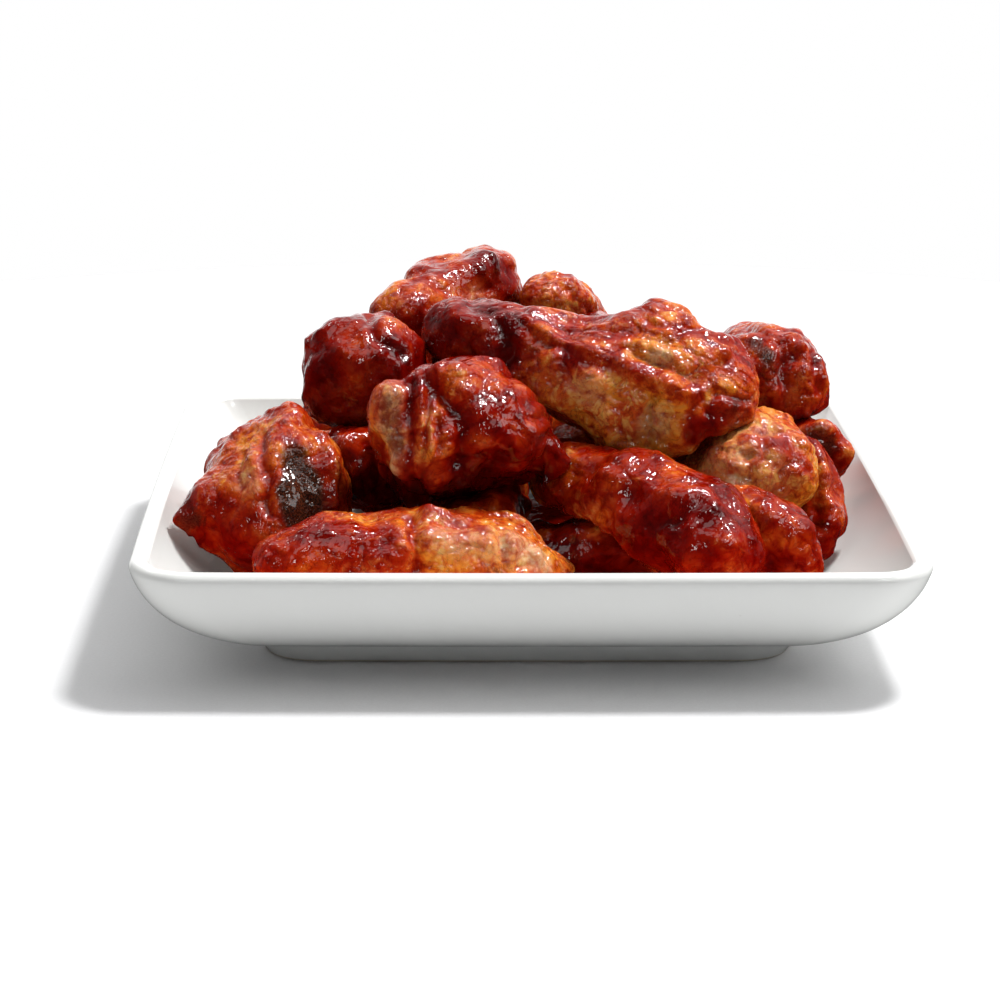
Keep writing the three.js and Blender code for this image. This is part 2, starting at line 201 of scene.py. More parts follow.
def glazed_skin(name, wetness):
    """Roast chicken skin under a wet red-brown glaze, which colours it by how thick it lies. The mesh says how
    thick that is, what is charred, and what is pale: bare gristle, and in places a painted sheen."""
    n = Nodes(name)
    where = n.add("ShaderNodeTexCoord").outputs["Object"]
    paint = n.add("ShaderNodeAttribute", {"attribute_name": "paint"})
    parts = n.add("ShaderNodeSeparateColor", Color=paint.outputs["Color"])
    thickness, char, pale = (parts.outputs[k] for k in ("Red", "Green", "Blue"))

    broad = n.noise(where, 13 * MM, 4, 0.55)
    middle = n.noise(where, 4.5 * MM, 5, 0.62, 0.5)
    fine = n.noise(where, 1.3 * MM, 4, 0.6)
    grain = n.noise(where, 0.42 * MM, 3, 0.6)

    # the skin itself: gold and orange in patches, with pale streaks, browner ones and thin dark veins
    streak = n.noise(where, 4.2 * MM, 4, 0.6, 1.0)
    vein = n.math("ABSOLUTE", n.math("SUBTRACT", n.noise(where, 6.0 * MM, 5, 0.6, 0.8), 0.5))
    skin = n.mix(n.span(broad, 0.4, 0.6), ORANGE, RUSSET)
    skin = n.mix(n.span(middle, 0.52, 0.7, 0.0, 0.7), skin, BROWN)
    skin = n.mix(n.span(streak, 0.5, 0.66, 0.0, 0.7), skin, CREAM)
    skin = n.mix(n.span(vein, 0.0, 0.025, 0.45, 0.0), skin, DARK_VEIN)
    # what the paint calls pale: bare gristle, and in places skin painted paler as a painted sheen
    gristle = n.mix(n.span(fine, 0.35, 0.65), PALE_GRISTLE, TAN_GRISTLE)
    skin = n.mix(pale, skin, gristle)

    # the glaze over it, deeper between the pimples, takes away green and blue first, and red more slowly
    cells = n.add("ShaderNodeTexVoronoi", {"feature": "F1"}, Vector=where, Scale=1 / PIMPLE)
    pits = n.math("SUBTRACT", n.math("POWER", cells.outputs["Distance"], 2.0), PIT_MIDDLE)
    pores = n.math("ADD", n.math("MULTIPLY", fine, 0.7), n.math("MULTIPLY", grain, 0.3))
    lows = n.math("MULTIPLY", n.math("ADD", pits, n.math("SUBTRACT", 0.5, pores)), 0.4)
    film = n.math("MULTIPLY", thickness, GLAZE_DEEPEST)
    thin = n.span(film, *THIN_GLAZE)
    patchy = n.math("MULTIPLY", n.math("SUBTRACT", middle, 0.5), 1.6)
    uneven = n.math("MULTIPLY", n.math("ADD", patchy, lows), n.math("ADD", n.math("MULTIPLY", thin, 0.72), 0.28))
    depth = n.math("MAXIMUM", n.math("ADD", film, uneven), 0.0)
    passed = n.add("ShaderNodeCombineColor")
    for channel, through in THROUGH_GLAZE:
        n.put(passed.inputs[channel], n.math("POWER", through, depth))
    colour = n.mix(1.0, skin, passed.outputs[0], "MULTIPLY")

    # scorched patches
    scorch = n.math("MULTIPLY", char, n.span(n.math("ADD", middle, n.math("MULTIPLY", char, 0.6)), 0.62, 0.85), True)
    colour = n.mix(scorch, colour, n.mix(n.span(grain, 0.4, 0.62), BLACK_CHAR, BROWN_CHAR))

    # painted bounce light: rays that bounce off the wings onto the dish or another wing see a grey instead of the
    # wings' own red, so the bounced light is less red than the wings would really give
    bounced = n.add("ShaderNodeLightPath").outputs["Is Diffuse Ray"]
    colour = n.mix(n.math("MULTIPLY", bounced, PAINTED_BOUNCE_SHARE), colour, PAINTED_BOUNCE_GREY)

    # wet gloss: smooth where the glaze is thick, broken up by pores where it is thin
    relief = n.math("MULTIPLY", pores, n.math("ADD", n.math("MULTIPLY", thin, 0.75), 0.25))
    under = n.bump(relief, 0.6, 0.5 * MM)
    ripple = n.math("MULTIPLY", n.noise(where, 3.2 * MM, 2, 0.4), 1.1)
    beads = n.math("MULTIPLY", n.noise(where, 1.3 * MM, 1, 0.4), 1.15)
    beading = n.math("SUBTRACT", beads, n.math("MULTIPLY", pits, 0.85))
    gritty = n.span(n.noise(where, 8 * MM, 3, 0.5), 0.5, 0.6, 0.12, 0.55)
    beading = n.math("MULTIPLY", beading, n.math("MAXIMUM", thin, gritty))
    over = n.bump(n.math("ADD", ripple, beading), 0.9, 0.6 * MM)
    roughness = n.math("ADD", n.span(middle, 0.3, 0.7, 0.3, 0.5), n.math("MULTIPLY", scorch, 0.2))
    n.set(Base_Color=colour, Roughness=roughness, Normal=under, Coat_Normal=over)
    n.set(Coat_Weight=wetness, Coat_Roughness=0.06, Coat_IOR=1.45, IOR=1.45, Specular_IOR_Level=0.0)
    n.set(Subsurface_Weight=0.08, Subsurface_Scale=1.5 * MM)
    n.shader.inputs["Subsurface Radius"].default_value = (1.0, 0.2, 0.1)
    return n.material


BARE_UNDER = (0.5 * MM, 1.0 * MM)  # the foot's edge has no glaze at the first height, and has all of it at the second


def porcelain():
    """White glazed porcelain with a faintly uneven glaze, a few specks and a bare biscuit foot."""
    n = Nodes("white_porcelain")
    where = n.add("ShaderNodeTexCoord").outputs["Object"]
    height = n.add("ShaderNodeSeparateXYZ", Vector=where).outputs["Z"]
    cloud = n.noise(where, 45 * MM, 1, 0.4)
    speck = n.noise(where, 1.1 * MM, 2, 0.5)
    ripple = n.noise(where, 9 * MM, 2, 0.4)
    glaze = n.mix(n.span(cloud, 0.2, 0.8), rgb(253, 254, 251), rgb(251, 252, 249))
    glaze = n.mix(n.span(speck, 0.74, 0.8, 0.0, 0.1), glaze, rgb(190, 182, 165))
    bare = n.span(height, *BARE_UNDER, 1.0, 0.0)
    n.set(Base_Color=n.mix(bare, glaze, rgb(226, 220, 206)))
    n.set(Roughness=n.math("ADD", n.math("MULTIPLY", bare, 0.5), n.span(cloud, 0.2, 0.8, 0.19, 0.26)))
    n.set(Normal=n.bump(ripple, 0.08, 0.4 * MM))
    n.set(Coat_Weight=0.3, Coat_Roughness=0.08, IOR=1.5, Specular_IOR_Level=0.3)
    return n.material


def table_top():
    """A plain white studio surface with a barely visible tooth."""
    n = Nodes("studio_white")
    where = n.add("ShaderNodeTexCoord").outputs["Object"]
    tooth = n.noise(where, 0.8 * MM, 3, 0.6)
    n.set(Base_Color=n.mix(n.span(tooth, 0.3, 0.7), rgb(231, 231, 232), rgb(235, 235, 236)))
    n.set(Roughness=n.span(tooth, 0.3, 0.7, 0.75, 0.85), Normal=n.bump(tooth, 0.05, 0.1 * MM))
    n.set(Specular_IOR_Level=0.2)
    return n.material


# ---------------------------------------------------------------------------------------------- the dish
DISH_SIDE = 203  # mm, to which the shares below were measured
RIM_WIDTH = 5.0 * MM
LIP = 2.2 * MM  # radius of the rim's outer edge
FOOT_SHARE = 138 / DISH_SIDE  # side of the foot, as a share of the dish's own
FOOT_FLARE = 3.0 * MM
FOOT_HEIGHT = 6.0 * MM
SLANT = 0.3  # how far the outer wall is from a quarter of an ellipse, 0, to straight, 1
HOLLOW = 0.9  # how far the inner wall's curve is from a parabola, 0, to a quarter of an ellipse, 1
FOOT_WIDTH = 6.0 * MM
RECESS = 2.5 * MM  # height of the underside inside the foot
FLOOR_HEIGHT = 10.0 * MM
FLOOR_SHARE = 132 / DISH_SIDE
BOW = 1.0 * MM  # how far the middle of a side is out from its ends
RIM_CORNER = 17 * MM
FOOT_CORNER = 14 * MM
WALL_CORNER = 13 * MM
RIM_EASE = (1.2 * MM, 0.8 * MM)  # width and height of the rim's rounded inner edge
LIP_STEPS = 8
RIM_STEPS = 6
WALL_STEPS = 26
SIDE_STEPS = 26
CORNER_STEPS = 14


def rounded_square(reach, corner, bow):
    """Points round a square with rounded corners whose sides bow out a little."""
    straight = reach - corner
    inset = bow * (straight / reach) ** 2
    quarter = []
    for i in range(SIDE_STEPS + 1):
        y = straight * (2 * i / SIDE_STEPS - 1)
        quarter.append((reach - bow * (y / reach) ** 2, y))
    for i in range(1, CORNER_STEPS):
        angle = i / CORNER_STEPS * math.pi / 2
        quarter.append((straight - inset + corner * math.cos(angle), straight - inset + corner * math.sin(angle)))
    ring = []
    for side in range(4):
        cos, sin = round(math.cos(side * math.pi / 2)), round(math.sin(side * math.pi / 2))
        ring += [(x * cos - y * sin, x * sin + y * cos) for x, y in quarter]
    return ring


def dish_section():
    """The dish's section, from the middle of its underside round to the middle of its floor: half a side, a
    height and a corner radius at each step."""
    low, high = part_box("dish")
    rim = (high[0] - low[0]) / 2
    top = high[2]
    foot = rim * FOOT_SHARE
    floor = rim * FLOOR_SHARE
    hollow = foot - FOOT_WIDTH
    steps = [(s * (hollow - 1.2 * MM), RECESS, FOOT_CORNER * 0.55 * s) for s in (0.25, 0.5, 0.75, 1)]
    steps += [
        (hollow - 0.8 * MM, RECESS * 0.85, FOOT_CORNER * 0.57),
        (hollow - 0.2 * MM, 0.4 * MM, FOOT_CORNER * 0.6),
        (hollow + 0.4 * MM, 0, FOOT_CORNER * 0.63),
        (foot - 1.1 * MM, 0, FOOT_CORNER),
        (foot - 0.3 * MM, 0.3 * MM, FOOT_CORNER),
        (foot, 0.9 * MM, FOOT_CORNER),
        (foot + FOOT_FLARE * 0.4, FOOT_HEIGHT * 0.5, FOOT_CORNER),
        (foot + FOOT_FLARE * 0.8, FOOT_HEIGHT * 0.85, FOOT_CORNER),
        (foot + FOOT_FLARE * 1.2, FOOT_HEIGHT, WALL_CORNER),
    ]
    start = foot + FOOT_FLARE + 2 * MM
    wall_foot = FOOT_HEIGHT + 0.3 * MM
    wall_top = top - LIP
    for i in range(WALL_STEPS + 1):
        share = i / WALL_STEPS
        angle = share * math.pi / 2
        out = (1 - SLANT) * math.sin(angle) + SLANT * share
        up = (1 - SLANT) * (1 - math.cos(angle)) + SLANT * share
        z = wall_foot + (wall_top - wall_foot) * up
        steps.append((start + (rim - start) * out, z, WALL_CORNER + (RIM_CORNER - WALL_CORNER) * out))
    for i in range(1, LIP_STEPS):
        angle = i / LIP_STEPS * math.pi / 2
        inset = LIP * (1 - math.cos(angle))
        steps.append((rim - inset, wall_top + LIP * math.sin(angle), RIM_CORNER - inset))
    inner = rim - RIM_WIDTH
    flat = RIM_WIDTH - LIP
    for i in range(1, RIM_STEPS):
        share = i / RIM_STEPS
        steps.append((rim - LIP - (flat - RIM_EASE[0]) * share, top, RIM_CORNER - LIP - flat * share))
    for i in range(WALL_STEPS + 1):
        out = math.cos(i / WALL_STEPS * math.pi / 2)
        rise = (1 - math.sqrt(1 - HOLLOW * out**2)) / (1 - math.sqrt(1 - HOLLOW))
        z = FLOOR_HEIGHT + (top - RIM_EASE[1] - FLOOR_HEIGHT) * rise
        steps.append((floor + (inner - floor) * out, z, RIM_CORNER - RIM_WIDTH + (1 - out) * 6 * MM))
    steps += [(floor * s, FLOOR_HEIGHT, (RIM_CORNER + 1 * MM) * s) for s in (0.75, 0.5, 0.25)]
    return steps


def make_dish():
    """The dish as rings of one section after another, closed in the middle above and below. The glaze on the
    wings doesn't mirror it, which would fill the gaps of the heap with grey."""
    rings, heights = [], []
    for reach, z, corner in dish_section():
        rings.append(rounded_square(reach, corner, BOW * (reach / (DISH_SIDE / 2 * MM)) ** 2))
        heights.append(z)
    count = len(rings[0])
    places = [(0, 0, heights[0])]  # the middle of the underside, the rings, and then the middle of the floor
    for ring, z in zip(rings, heights):
        places += [(x, y, z) for x, y in ring]
    places.append((0, 0, heights[-1]))
    last = len(places) - 1
    faces = []
    for spoke in range(count):
        following = (spoke + 1) % count
        faces.append((0, 1 + following, 1 + spoke))
        for ring in range(len(rings) - 1):
            a, b = 1 + ring * count, 1 + (ring + 1) * count
            faces.append((a + spoke, a + following, b + following, b + spoke))
        a = 1 + (len(rings) - 1) * count
        faces.append((a + spoke, a + following, last))
    mesh = bpy.data.meshes.new("porcelain_dish")
    mesh.from_pydata(places, [], faces)
    mesh.polygons.foreach_set("use_smooth", [True] * len(mesh.polygons))
    mesh.materials.append(porcelain())
    dish = new_object("porcelain_dish", mesh)
    dish.visible_glossy = False
    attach(dish, "root")
    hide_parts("dish")


# ---------------------------------------------------------------------------------------------- the wings
# Places on a wing are shares of its box, from its left, front and bottom. For each wing:
#   size   of a face
#   glaze  how much glaze it carries, mm
#   rough  how pimply its skin is, and folded how wrinkled, where that isn't 1
#   swell  how much fatter it is, mm
#   lobes  further flesh or drips: [radius in mm at each end, place, place]
#   folds  ridges, or creases where negative: [height mm, width mm, place, ...]
#   spots  [what, how much, width mm, place, ...], of glaze, char or pale
FINE = 0.6 * MM  # size of a face on the wings that show most
COARSE = 0.95 * MM
WINGS = {
    "wing_top": dict(
        size=FINE, glaze=0.4,
        folds=[
            [-1.8, 1.8, (0.22, 0.54, 0.8), (0.26, 0.47, 0.72), (0.24, 0.46, 0.6)],
            [1.3, 2.2, (0.22, 0.54, 0.92), (0.31, 0.5, 0.89), (0.4, 0.37, 0.78), (0.5, 0.25, 0.72)],
            [-1.0, 1.5, (0.33, 0.42, 0.78), (0.44, 0.31, 0.7), (0.55, 0.2, 0.62)],
            [-1.6, 7.0, (0.43, 0.5, 0.88)],
            [1.6, 8.0, (0.59, 0.14, 0.28)],
            [-1.4, 1.3, (0.68, 0.07, 0.5), (0.66, 0.08, 0.35), (0.67, 0.13, 0.15)],
            [-0.8, 1.0, (0.86, 0.08, 0.49), (0.95, 0.16, 0.44)],
            [-0.8, 1.0, (0.84, 0.06, 0.38), (0.94, 0.15, 0.34)],
            [-0.8, 1.0, (0.83, 0.03, 0.26), (0.9, 0.11, 0.25)],
            [1.4, 2.6, (0.8, 0.45, 0.86)], [1.4, 2.4, (0.86, 0.34, 0.82)], [1.2, 2.4, (0.9, 0.24, 0.74)],
            [1.2, 2.0, (0.62, 0.15, 0.6), (0.72, 0.08, 0.56), (0.8, 0.06, 0.52)],
        ],
        spots=[
            ["glaze", 1.3, 11, (0.07, 0.61, 0.75), (0.18, 0.5, 0.7)],
            ["glaze", 0.9, 3.5, (0.44, 0.3, 0.7), (0.56, 0.2, 0.66)],
            ["glaze", 0.9, 3.5, (0.62, 0.15, 0.6), (0.8, 0.06, 0.52)],
            ["glaze", -1.3, 9, (0.52, 0.18, 0.5), (0.45, 0.2, 0.4)],
            ["glaze", -1.3, 6, (0.67, 0.23, 0.76), (0.75, 0.2, 0.7)],
            ["glaze", -1.5, 8, (0.7, 0.05, 0.35), (0.6, 0.1, 0.25)],
            ["glaze", -1.4, 10, (0.59, 0.14, 0.28)],
            ["glaze", 1.2, 3.5, (0.5, 0.2, 0.2), (0.62, 0.2, 0.08)],
            ["pale", 0.3, 5, (0.48, 0.18, 0.5)],
            ["pale", 0.4, 4.5, (0.68, 0.1, 0.3)],
            ["pale", 0.5, 3, (0.7, 0.2, 0.72)],
            ["glaze", 0.8, 4, (0.9, 0.07, 0.4), (0.82, 0.03, 0.25)],
            ["char", 0.45, 7, (0.93, 0.1, 0.36)],
            ["glaze", 0.6, 5, (0.86, 0.34, 0.85)],
        ],
    ),
    "wing_front_right": dict(
        size=FINE, glaze=0.9, folded=0.6,
        folds=[
            [-1.6, 4, (0.41, 0.33, 0.78)],
            [1.0, 3, (0.3, 0.5, 0.92), (0.54, 0.25, 0.82), (0.75, 0.2, 0.8)],
            [-1.2, 2, (0.5, 0.2, 0.62), (0.62, 0.12, 0.7), (0.7, 0.14, 0.8)],
            [1.6, 3.5, (0.68, 0.1, 0.64)], [1.5, 3, (0.78, 0.16, 0.74)], [1.4, 3, (0.8, 0.03, 0.56)],
            [-1.4, 2.5, (0.73, 0.06, 0.66)], [1.3, 3.5, (0.67, 0.04, 0.46)],
        ],
        spots=[
            ["glaze", -0.1, 7, (0.2, 0.6, 0.8), (0.4, 0.48, 0.92)],
            ["glaze", 0.6, 12, (0.7, 0.05, 0.6)],
            ["glaze", 0.5, 11, (0.35, 0.1, 0.4), (0.6, 0.05, 0.35)],
        ],
    ),
    "wing_front": dict(
        size=FINE, glaze=0.2, rough=1.4, folded=0.6, swell=-1.5,
        folds=[
            [-2.0, 1.7, (0.49, 0.4, 0.95), (0.5, 0.11, 0.74), (0.5, 0.05, 0.5)],
            [1.4, 2.4, (0.54, 0.47, 0.95)], [1.6, 2.2, (0.59, 0.5, 0.94)], [1.3, 2.4, (0.64, 0.45, 0.91)],
            [-1.2, 1.5, (0.76, 0.3, 0.85), (0.77, 0.1, 0.6)],
            [1.3, 2.6, (0.8, 0.26, 0.69)], [1.5, 2.4, (0.87, 0.31, 0.55)], [1.2, 2.2, (0.94, 0.5, 0.5)],
            [-1.0, 1.6, (0.84, 0.3, 0.66)], [-1.0, 1.6, (0.9, 0.4, 0.5)],
            [-0.8, 1.6, (0.2, 0.1, 0.85), (0.3, 0.12, 0.7), (0.42, 0.1, 0.72)],
        ],
        spots=[
            ["glaze", -1.1, 9, (0.6, 0.16, 0.8), (0.7, 0.18, 0.7)],
            ["glaze", 0.9, 3, (0.54, 0.5, 0.98), (0.66, 0.5, 0.95)],
            # partly pale gristle, partly a painted sheen: the right third is made paler to stand in for its wet
            # highlights
            ["pale", 0.75, 4.5, (0.8, 0.26, 0.69), (0.9, 0.35, 0.5)],
            ["pale", 0.35, 6, (0.6, 0.16, 0.85), (0.72, 0.18, 0.75)],
            ["glaze", -0.5, 5, (0.82, 0.26, 0.69), (0.92, 0.4, 0.5)],
            ["glaze", 0.7, 5, (0.02, 0.3, 0.7), (0.1, 0.1, 0.5)],
            ["glaze", 0.6, 7, (0.1, 0.2, 0.8), (0.38, 0.15, 0.85)],
            ["glaze", 1.1, 3, (0.69, 0.25, 0.92)],
            ["glaze", 1.0, 2.6, (0.65, 0.06, 0.62), (0.68, 0.04, 0.5)],
        ],
    ),
    "wing_centre": dict(
        size=FINE, glaze=1.1,
        lobes=[
            [6.0, 2.4, (0.76, 0.25, 0.5), (0.9, 0.15, 0.42)],
            [3.0, 1.4, (0.9, 0.15, 0.4), (0.84, 0.12, 0.2)],
            [5.5, 3.2, (0.22, 0.14, 0.28), (0.27, 0.1, 0.0)],
        ],
        folds=[
            [-2.2, 1.6, (0.22, 0.1, 0.9), (0.22, 0.03, 0.62), (0.25, 0.05, 0.24)],
            [1.0, 3.0, (0.13, 0.12, 0.86), (0.12, 0.05, 0.6), (0.16, 0.06, 0.3)],
            [1.5, 2.2, (0.26, 0.08, 0.8), (0.26, 0.02, 0.45)],
            [-1.3, 1.0, (0.29, 0.08, 0.82), (0.29, 0.01, 0.57), (0.28, 0.02, 0.4)],
            [-1.1, 1.0, (0.35, 0.07, 0.78), (0.35, 0.02, 0.5)],
            [1.3, 2.0, (0.32, 0.05, 0.75), (0.32, 0.02, 0.5)],
            [2.6, 6, (0.4, 0.14, 0.94)],
            [-3.0, 2.2, (0.3, 0.1, 0.89), (0.45, 0.04, 0.74), (0.46, 0.02, 0.5), (0.42, 0.03, 0.4)],
            [2.0, 12, (0.68, 0.06, 0.68)],
            [-4.0, 6.5, (0.6, 0.04, 0.36)],
            [-4.5, 7.0, (0.48, 0.1, 0.1), (0.74, 0.16, 0.16)],
            [-1.6, 2.5, (0.06, 0.14, 0.25), (0.14, 0.1, 0.15)],
            [1.8, 5, (0.34, 0.02, 0.3)],
        ],
        spots=[
            ["pale", 0.5, 3.2, (0.14, 0.1, 0.84), (0.13, 0.04, 0.6), (0.17, 0.06, 0.3)],
            ["char", 0.55, 2.6, (0.14, 0.08, 0.8), (0.15, 0.06, 0.5)],
            ["glaze", -1.1, 3.6, (0.14, 0.1, 0.84), (0.16, 0.06, 0.3)],
            ["glaze", -0.45, 4.5, (0.3, 0.06, 0.75), (0.3, 0.02, 0.5)],
            ["glaze", 0.5, 4.5, (0.4, 0.14, 0.94)],
            ["glaze", -0.5, 4, (0.34, 0.02, 0.28)],
            ["glaze", 0.9, 12, (0.7, 0.06, 0.65)],
            ["glaze", 1.1, 6, (0.2, 0.1, 0.2), (0.5, 0.1, 0.15)],
        ],
    ),
    "wing_left_upper": dict(
        size=FINE, glaze=1.2, rough=0.7, folded=0.45,
        folds=[
            [2.4, 5.5, (0.75, 0.14, 0.95)],
            [-1.8, 1.7, (0.54, 0.25, 1.0), (0.6, 0.06, 0.9), (0.8, 0.05, 0.8)],
            [1.0, 2.4, (0.11, 0.2, 0.8)], [1.0, 2.4, (0.23, 0.14, 0.92)], [0.9, 2.2, (0.16, 0.12, 0.7)],
            [1.0, 3, (0.36, 0.05, 0.85)], [-1.0, 3, (0.3, 0.04, 0.72)],
        ],
    ),
    "wing_left": dict(
        size=FINE, glaze=0.45, rough=1.1, folded=0.6,
        lobes=[
            [9.0, 1.0, (0.26, 0.25, 0.42), (-0.03, 0.15, 0.4)],
            [6.0, 1.0, (0.4, 0.2, 0.2), (0.0, 0.15, 0.38)],
        ],
        folds=[
            [-1.8, 1.8, (0.46, 0.25, 0.88), (0.5, 0.08, 0.7), (0.52, 0.06, 0.5)],
            [-2.0, 5.0, (0.68, 0.1, 0.7), (0.72, 0.07, 0.48)],
            [1.6, 2.8, (0.82, 0.24, 0.85), (0.87, 0.12, 0.55)],
            [1.2, 2.6, (0.51, 0.37, 0.93)], [1.4, 2.6, (0.6, 0.35, 0.97)], [1.2, 2.4, (0.68, 0.31, 0.95)],
            [-1.0, 1.4, (0.3, 0.2, 0.8), (0.36, 0.12, 0.6)],
        ],
        spots=[
            ["glaze", -0.4, 8, (0.24, 0.2, 0.68), (0.36, 0.15, 0.75)],
            ["pale", 0.5, 4.5, (0.38, 0.11, 0.66)],
            ["glaze", 0.6, 8, (0.1, 0.2, 0.35), (0.4, 0.05, 0.35)],
            ["char", 1.0, 4.5, (0.66, 0.13, 0.8), (0.7, 0.08, 0.6), (0.71, 0.07, 0.45)],
            ["char", 0.8, 4.0, (0.75, 0.1, 0.66), (0.76, 0.07, 0.42)],
            ["char", 0.7, 3.0, (0.62, 0.1, 0.6), (0.66, 0.07, 0.4)],
            ["char", 0.55, 5.0, (0.05, 0.15, 0.45)],
            ["glaze", 0.7, 4, (0.82, 0.24, 0.85), (0.87, 0.12, 0.55)],
        ],
    ),
    "wing_left_inner": dict(
        size=FINE, glaze=1.3,
        folds=[[1.2, 2.4, (0.22, 0.07, 0.89)], [1.2, 2.2, (0.33, 0.01, 0.75)]],
    ),
    "wing_right_mid": dict(
        size=FINE, glaze=-0.8, rough=1.0, folded=0.6,
        folds=[
            [1.8, 6, (0.86, 0.1, 0.42)], [1.6, 2.6, (0.57, 0.03, 0.47)],
            [-1.4, 1.6, (0.62, 0.05, 0.75), (0.72, 0.08, 0.6), (0.78, 0.1, 0.4)],
            [-1.0, 1.5, (0.5, 0.05, 0.6), (0.62, 0.03, 0.56)],
        ],
        spots=[
            ["pale", 1.0, 3.0, (0.57, 0.03, 0.47)], ["glaze", -0.8, 4, (0.57, 0.03, 0.47)],
            ["glaze", 1.4, 3.5, (0.7, 0.08, 0.87)], ["glaze", 1.6, 4, (0.8, 0.1, 0.8), (0.9, 0.1, 0.6)],
            # a broad pale patch that is mostly a painted sheen, the brightness that its highlights would give
            ["pale", 0.3, 9, (0.5, 0.07, 0.75), (0.62, 0.1, 0.8)],
            ["glaze", 1.3, 2.4, (0.55, 0.05, 0.62)],
            ["glaze", 1.2, 2.2, (0.66, 0.05, 0.7)],
            ["glaze", 1.1, 2.2, (0.6, 0.1, 0.86)],
        ],
    ),
    "wing_corner": dict(
        size=FINE, glaze=0.55,
        folds=[[-2.2, 4, (0.52, 0.06, 0.4)], [1.2, 3, (0.5, 0.13, 0.75)]],
    ),
    "wing_right_edge": dict(
        size=FINE, glaze=1.1, rough=1.2,
        folds=[
            [2.2, 3.5, (0.55, 0.02, 0.2), (0.75, 0.05, 0.5), (0.7, 0.2, 0.9)],
            [-1.8, 2.0, (0.4, 0.02, 0.3), (0.55, 0.05, 0.6), (0.5, 0.15, 0.9)],
        ],
    ),
    "wing_right_far": dict(
        size=FINE, glaze=0.9, rough=1.5,
        folds=[
            [1.8, 2.4, (0.55, 0.05, 0.9), (0.8, 0.15, 0.85)], [2.0, 2.6, (0.9, 0.1, 0.6)],
            [-1.6, 1.6, (0.6, 0.03, 0.6), (0.85, 0.06, 0.5)], [1.5, 2.0, (0.5, 0.03, 0.5)],
        ],
        spots=[["char", 0.7, 2.6, (0.66, 0.05, 0.8), (0.76, 0.05, 0.68)]],
    ),
    "wing_right_back": dict(
        size=FINE, glaze=0.9, rough=1.3,
        folds=[
            [-1.4, 1.6, (0.62, 0.1, 0.9), (0.66, 0.02, 0.7), (0.66, 0.02, 0.5)],
            [1.2, 1.6, (0.75, 0.1, 0.85), (0.8, 0.04, 0.6)],
            [-1.2, 1.2, (0.83, 0.12, 0.8), (0.87, 0.06, 0.6)],
        ],
        spots=[["char", 0.7, 2.4, (0.47, 0.1, 0.93), (0.52, 0.06, 0.86)], ["char", 0.5, 5, (0.59, 0.03, 0.75)]],
    ),
    "wing_back_upper": dict(
        size=FINE, glaze=0.45, folded=0.6,
        spots=[["glaze", 1.3, 7, (0.86, 0.56, 0.67), (0.8, 0.5, 0.9)], ["pale", 0.5, 5, (0.7, 0.35, 0.45)]],
    ),
    "wing_back_top": dict(size=FINE, glaze=-0.1, rough=1.3),
    "wing_under_front": dict(size=COARSE, glaze=1.2),
    "wing_under_centre": dict(size=COARSE, glaze=1.1),
    "wing_under_top": dict(size=COARSE, glaze=1.0),
    "wing_low_left": dict(size=COARSE, glaze=0.45, rough=1.2),
    "wing_low_back": dict(size=COARSE, glaze=0.8),
    "wing_low_right": dict(size=COARSE, glaze=0.4, rough=1.2),
    "wing_low_corner": dict(size=COARSE, glaze=0.9),
    "wing_mid_left": dict(size=COARSE, glaze=0.8),
    "wing_mid_right": dict(size=COARSE, glaze=0.35, rough=1.3),
    "wing_high_back": dict(size=COARSE, glaze=0.7),
}
IN_THE_SHADE = ("wing_under_centre",)  # wings deep in the heap that get the dull copy of the glaze, a painted shade that keeps their reflections dark


def place_in(node, share):
    """A place given as shares of the node's box, in metres."""
    low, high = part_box(node)
    return np.array([low[k] + (high[k] - low[k]) * share[k] for k in range(3)])


def along(places, spacing):
    """Points along a line through the places, and how far along each one is, 0 to 1."""
    points, shares = [], []
    for i, (a, b) in enumerate(zip(places, places[1:])):
        count = max(1, int(np.linalg.norm(b - a) / spacing))
        for j in range(count):
            points.append(a + (b - a) * j / count)
            shares.append((i + j / count) / (len(places) - 1))
    return points + [places[-1]], shares + [1.0]


ACROSS_SURFACE = 0.9  # how little a place's height over the surface counts


def distance_to(points, normals, places):
    """How far each point is, along the surface, from the line through the places."""
    nearest = np.full(len(points), np.inf)
    for a, b in zip(places, places[1:] or places):
        run = b - a
        share = np.clip((points - a) @ run / max(run @ run, 1e-9), 0, 1)
        away = points - a - share[:, None] * run
        over = np.einsum("ij,ij->i", away, normals)
        nearest = np.minimum(nearest, (away**2).sum(axis=1) - ACROSS_SURFACE * over**2)
    return np.sqrt(np.maximum(nearest, 0))


WELD_WITHIN = 0.01 * MM
BALL_SPACING = 0.8 * MM  # between the balls that a lobe is made of


def smooth_form(node, look):
    """The node's own form, rounded, joined with its further lobes and cut into even faces."""
    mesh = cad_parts[node].data.copy()
    obj = new_object("glazed_" + node, mesh)
    weld = obj.modifiers.new("weld", "WELD")
    weld.merge_threshold = WELD_WITHIN
    rounded = obj.modifiers.new("rounded", "SUBSURF")
    rounded.levels = rounded.render_levels = 2
    mesh = with_modifiers_applied(obj)
    form = bmesh.new()
    form.from_mesh(mesh)
    for start, end, *places in look.get("lobes", ()):
        points, shares = along([place_in(node, place) for place in places], BALL_SPACING)
        for point, share in zip(points, shares):
            radius = (start + (end - start) * share) * MM
            bmesh.ops.create_icosphere(form, subdivisions=3, radius=radius, matrix=Matrix.Translation(Vector(point)))
    form.to_mesh(mesh)
    form.free()
    even = obj.modifiers.new("even", "REMESH")
    even.mode = "VOXEL"
    even.voxel_size = look["size"]
    soft = obj.modifiers.new("soft", "SMOOTH")
    soft.factor = 0.5
    soft.iterations = 12
    with_modifiers_applied(obj)
    return obj


